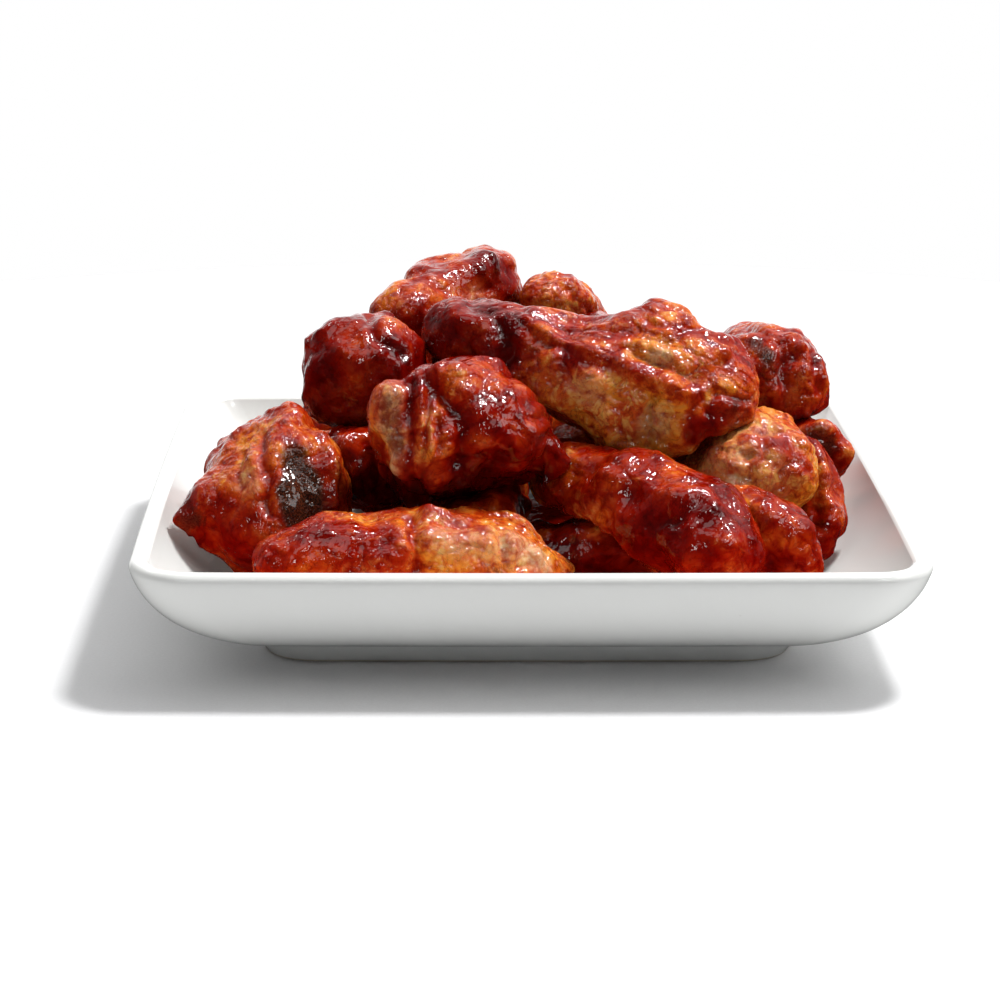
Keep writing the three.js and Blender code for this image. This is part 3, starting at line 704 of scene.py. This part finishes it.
SWELL = 0.9  # mm that rounding the facets takes off all round
RELIEF = 0.9  # how strong the whole relief is
ON_SKIN = 1.4  # how strong the folds are on the skin
ON_FILM = 1.05  # and on the film, so that glaze runs off ridges and fills creases
DRIFT = 1.3  # mm by which folds and spots stray from their straight paths
LEVEL_GAP = 0.25  # mm between the film and where glaze begins
SOFTNESS = 0.25  # mm over which its edge fades
BEAD = 0.55  # mm, the height of its beads
WING_SEED = 100


def skin_relief(points, axis, noise, rough, folded):
    """Height of the bare skin in mm, and of the smoother film that a little glaze would make over it. Each layer
    is a height in mm times noise whose swells are as many mm long as the points are divided by. What is then
    added to the points only sets one layer's noise apart from another's."""
    along_axis = points @ axis
    stretched = points - 0.5 * along_axis[:, None] * axis
    warp = np.stack([noise(points / 9 + k * 17.3) for k in range(3)], axis=1)
    bent = stretched + 2.6 * warp
    swells = (0.6 + 0.4 * folded) * (2.2 * noise(points / 15 + 3.1) + 1.1 * noise(points / 7.5 + 8.7))
    folding = noise(bent / 8.5 + 5.9)
    folds = 2.2 * np.abs(folding) - 0.6
    filled = 2.2 * np.sqrt(folding**2 + 0.012) - 0.72
    wrinkling = noise(bent / 4.6 + 2.3)
    wrinkles = -0.55 * np.exp(-((wrinkling / 0.1) ** 2))
    pimples = noise(points / 1.8 + 11.0)
    warts = smoothstep(0.1, 0.55, noise(points / 3.1 + 41.0)) * smoothstep(-0.1, 0.4, noise(points / 15 + 51.0))
    skin = swells + folded * (1.5 * folds + 1.3 * wrinkles) + rough * (0.16 * pimples + 0.45 * warts)
    film = swells + folded * (1.3 * filled + 0.4 * wrinkles) + 0.25 * rough * warts
    return skin, film, warp


def make_wing(index, node, look, material):
    """Gives the node's smooth form its skin, folds and glaze. Its paint says how thick the glaze is, and what is
    charred or pale."""
    obj = smooth_form(node, look)
    mesh = obj.data
    places, normals = mesh_arrays(mesh)
    points = places / MM
    middle = points.mean(axis=0)
    _, directions = np.linalg.eigh(np.cov((points - middle).T))
    axis = directions[:, 2]
    noise = Noise(WING_SEED + index)

    skin, film, warp = skin_relief(points, axis, noise, look.get("rough", 1.0), look.get("folded", 1.0))
    bent = points + DRIFT * warp
    for height, width, *path in look.get("folds", ()):
        near = np.exp(-((distance_to(bent, normals, [place_in(node, place) / MM for place in path]) / width) ** 2))
        skin += ON_SKIN * height * near
        film += ON_FILM * height * near
    marks = {what: np.zeros(len(points)) for what in ("glaze", "char", "pale")}
    for what, amount, width, *path in look.get("spots", ()):
        far = distance_to(bent, normals, [place_in(node, place) / MM for place in path]) / width
        marks[what] += amount * np.exp(-(far**4))

    glaze = look["glaze"] + marks["glaze"] + 0.9 * noise(points / 16 + 21.0) + 0.4 * noise(points / 5.5 + 31.0)
    room = film + glaze - LEVEL_GAP - skin
    depth = SOFTNESS * np.logaddexp(0, room / SOFTNESS)
    depth = np.sqrt(depth * (depth + 0.35)) - 0.02
    beads = smoothstep(0.12, 0.5, noise(points / 3.6 + 61.0)) * smoothstep(0.0, 0.4, noise(points / 12 + 71.0))
    depth = np.clip(depth, 0, None) + BEAD * beads * smoothstep(0.05, 0.5, depth)
    height = skin + depth * smoothstep(0.0, 0.3, depth)

    outward = RELIEF * (height - height.mean()) + SWELL + look.get("swell", 0.0)
    set_places(mesh, places + normals * outward[:, None] * MM)
    paint = np.ones((len(points), 4), dtype=np.float32)
    paint[:, 0] = np.clip(depth / GLAZE_DEEPEST, 0, 1)
    paint[:, 1] = np.clip(marks["char"], 0, 1)
    paint[:, 2] = np.clip(marks["pale"], 0, 1)
    mesh.attributes.new("paint", "FLOAT_COLOR", "POINT").data.foreach_set("color", paint.ravel())
    mesh.polygons.foreach_set("use_smooth", [True] * len(mesh.polygons))
    mesh.materials.clear()
    mesh.materials.append(material)
    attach(obj, "root")
    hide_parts(node)


POOL_REACH = 60 * MM
POOL_DEPTH = 1.6 * MM
POOL_GLAZE = 0.5  # how thick its paint says that it is, as a share of GLAZE_DEEPEST
POOL_RINGS = 40
POOL_SPOKES = 160
POOL_SEED = 300


def make_pool(material):
    """A thin pool of sauce on the dish's floor under the heap, with a wavy edge."""
    noise = Noise(POOL_SEED)
    rings, spokes = POOL_RINGS, POOL_SPOKES
    places = [(0.0, 0.0, FLOOR_HEIGHT + POOL_DEPTH)]
    for ring in range(1, rings + 1):
        share = ring / rings
        for spoke in range(spokes):
            angle = spoke / spokes * 2 * math.pi
            away = np.array([[math.cos(angle), math.sin(angle), 0.5]])
            reach = POOL_REACH * (1 + 0.12 * noise(away * 1.3)[0] + 0.05 * noise(away * 4.1)[0]) * share
            edge = math.sqrt(max(0.0, 1 - share**6))
            places.append((reach * away[0, 0], reach * away[0, 1], FLOOR_HEIGHT + POOL_DEPTH * (edge - 0.02)))
    faces = [(0, 1 + spoke, 1 + (spoke + 1) % spokes) for spoke in range(spokes)]
    for ring in range(rings - 1):
        for spoke in range(spokes):
            a, b = 1 + ring * spokes, 1 + (ring + 1) * spokes
            following = (spoke + 1) % spokes
            faces.append((a + spoke, b + spoke, b + following, a + following))
    faces.append(tuple(1 + (rings - 1) * spokes + spoke for spoke in reversed(range(spokes))))
    mesh = bpy.data.meshes.new("sauce_pool")
    mesh.from_pydata(places, [], faces)
    paint = np.tile(np.array([POOL_GLAZE, 0, 0, 1], dtype=np.float32), (len(places), 1))
    mesh.attributes.new("paint", "FLOAT_COLOR", "POINT").data.foreach_set("color", paint.ravel())
    mesh.polygons.foreach_set("use_smooth", [True] * (len(mesh.polygons) - 1) + [False])
    mesh.materials.append(material)
    pool = new_object("sauce_pool", mesh)
    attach(pool, "root")


# ---------------------------------------------------------------------------------------------- stage
FLOOR_REACH = 0.5
FLOOR_SIDES = 64


def make_floor():
    mesh = bpy.data.meshes.new("floor")
    turns = [side / FLOOR_SIDES * 2 * math.pi for side in range(FLOOR_SIDES)]
    ring = [(FLOOR_REACH * math.cos(turn), FLOOR_REACH * math.sin(turn), 0) for turn in turns]
    mesh.from_pydata(ring, [], [tuple(range(FLOOR_SIDES))])
    mesh.materials.append(table_top())
    floor = new_object("floor", mesh)
    floor.visible_glossy = False


KEY_POWER = 8.6
KEY_WIDTH = 0.15
KEY_PLACE = (0.31, 0.105, 0.77)
FILL_LOW = 0.36  # even light from the horizon behind
FILL_HIGH = 1.07  # and from overhead
FILL_LEFT = 0.65  # share of it that comes from the left
FILL_RIGHT = 1.3  # and from the right
FILL_FRONT = 0.08  # and from in front
BOX = 0.55  # the bright panel overhead and behind, as the gloss sees it
BACK = 0.23  # the pale wall behind, as the gloss sees it
FRONT = 0.04  # the dark room in front, as the gloss sees it
RIM = 1.0  # what is right behind, which only shows in the gloss at a grazing angle

# From where to where a part of that light comes up or fades, as the x, y or z of a direction of length 1
FILL_RISE = (-0.1, 0.6)
FILL_ACROSS = (-0.7, 0.7)
FILL_DEPTH = (-0.68, 0.13)
ROOM_DEPTH = (-0.1, 0.6)
ROOM_RISE = (-0.15, 0.0)
UNDERNEATH = 0.05  # share of the room's brightness that is left below the horizon
RIM_DEPTH = (0.78, 0.95)
RIM_RISE = (-0.235, -0.165)
BOX_RISE, BOX_TOP = (0.42, 0.56), (0.9, 0.96)
BOX_DEPTH, BOX_LEFT = (-0.1, 0.1), (-0.45, -0.3)

CORE = 0.7  # share of a lamp's half angle that is fully bright
LAMPS = [  # direction, half angle in degrees and brightness of the lamps that the gloss sees
    [(0.37, 0.12, 0.92), 12, 11.0],
    [(0.76, -0.22, 0.61), 19, 3.6],
    [(-0.45, 0.55, 0.7), 5, 8.0],
    [(-0.1, -0.3, 0.95), 23, 1.8],
    [(0.42, -0.68, 0.58), 6, 13.0],
    [(-0.35, -0.75, 0.5), 5, 12.0],
]


def make_lights():
    key = bpy.data.lights.new("key", "AREA")
    key.shape = "DISK"
    key.size = KEY_WIDTH
    key.energy = KEY_POWER
    key.use_nodes = True
    key_nodes = key.node_tree.nodes
    falloff = key_nodes.new("ShaderNodeLightFalloff")
    falloff.inputs["Strength"].default_value = 1.0
    key.node_tree.links.new(falloff.outputs["Constant"], key_nodes["Emission"].inputs["Strength"])
    lamp = new_object("key", key)
    lamp.location = KEY_PLACE
    lamp.rotation_euler = Vector(KEY_PLACE).to_track_quat("Z", "Y").to_euler()

    world = bpy.data.worlds.new("studio")
    bpy.context.scene.world = world
    world.use_nodes = True
    tree = world.node_tree
    back = tree.nodes["Background"]
    where = tree.nodes.new("ShaderNodeTexCoord")
    split = tree.nodes.new("ShaderNodeSeparateXYZ")
    tree.links.new(where.outputs["Generated"], split.inputs[0])

    def ramp(source, low, high, to_low, to_high):
        node = tree.nodes.new("ShaderNodeMapRange")
        node.interpolation_type = "SMOOTHSTEP"
        for name, value in (("From Min", low), ("From Max", high), ("To Min", to_low), ("To Max", to_high)):
            node.inputs[name].default_value = value
        tree.links.new(source, node.inputs["Value"])
        return node.outputs[0]

    def join(operation, a, b):
        node = tree.nodes.new("ShaderNodeMath")
        node.operation = operation
        for socket, value in zip(node.inputs, (a, b)):
            if isinstance(value, bpy.types.NodeSocket):
                tree.links.new(value, socket)
            else:
                socket.default_value = value
        return node.outputs[0]

    # what the gloss sees: a dim room, a strip right behind near the horizon, a panel overhead, and the lamps
    x, y, z = (split.outputs[k] for k in "XYZ")
    wall = join("MULTIPLY", ramp(y, *ROOM_DEPTH, FRONT, BACK), ramp(z, *ROOM_RISE, UNDERNEATH, 1.0))
    rim = join("MULTIPLY", ramp(y, *RIM_DEPTH, 0.0, RIM), ramp(z, *RIM_RISE, 0.0, 1.0))
    wall = join("ADD", wall, rim)
    high = join("MULTIPLY", ramp(z, *BOX_RISE, 0.0, 1.0), ramp(z, *BOX_TOP, 1.0, 0.0))
    panel = join("MULTIPLY", high, join("MULTIPLY", ramp(y, *BOX_DEPTH, 0.0, BOX), ramp(x, *BOX_LEFT, 0.0, 1.0)))
    gloss = join("ADD", wall, panel)
    for direction, half_angle, strength in LAMPS:
        towards = tree.nodes.new("ShaderNodeVectorMath")
        towards.operation = "DOT_PRODUCT"
        tree.links.new(where.outputs["Generated"], towards.inputs[0])
        towards.inputs[1].default_value = Vector(direction).normalized()
        edge, core = math.cos(math.radians(half_angle)), math.cos(math.radians(half_angle * CORE))
        gloss = join("ADD", gloss, ramp(towards.outputs["Value"], edge, core, 0.0, strength))

    # what lights everything, and white for the camera itself
    ray = tree.nodes.new("ShaderNodeLightPath")
    glossy = ray.outputs["Is Glossy Ray"]
    above = join("MULTIPLY", ramp(z, *FILL_RISE, FILL_LOW, FILL_HIGH), ramp(x, *FILL_ACROSS, FILL_LEFT, FILL_RIGHT))
    fill = join("MULTIPLY", above, ramp(y, *FILL_DEPTH, FILL_FRONT, 1.0))
    mixed = join("ADD", join("MULTIPLY", glossy, gloss), join("MULTIPLY", join("SUBTRACT", 1.0, glossy), fill))
    tree.links.new(join("MAXIMUM", mixed, ray.outputs["Is Camera Ray"]), back.inputs["Strength"])
    back.inputs["Color"].default_value = (1, 1, 1, 1)


CAMERA_DISTANCE = 0.816  # from the dish's middle, along the table
CAMERA_HEIGHT = 0.2423
CAMERA_ASIDE = -0.0222
CAMERA_PITCH = 14.9  # degrees below level
SENSOR = 36.0  # its width, mm
FOCAL_SHARE = 3.04  # focal length over the picture's width
SHIFT = 0.058  # of the lens to the side, over the picture's width


def make_camera():
    data = bpy.data.cameras.new("camera")
    data.sensor_width = SENSOR
    data.lens = SENSOR * FOCAL_SHARE
    data.shift_x = SHIFT
    data.clip_end = 50
    camera = new_object("camera", data)
    camera.location = (CAMERA_ASIDE, -CAMERA_DISTANCE, CAMERA_HEIGHT)
    camera.rotation_euler = (math.radians(90 - CAMERA_PITCH), 0, 0)
    bpy.context.scene.camera = camera


make_camera()
make_dish()
wet = glazed_skin("glazed_skin", WET)
# a shaded copy of the glaze with its gloss turned down: painted shade for the wing deep in the heap and for the pool
shaded = glazed_skin("shaded_glaze", DULL)
for index, (node, look) in enumerate(WINGS.items()):
    make_wing(index, node, look, shaded if node in IN_THE_SHADE else wet)
make_pool(shaded)
make_floor()
make_lights()
bpy.context.scene.view_settings.view_transform = "Standard"
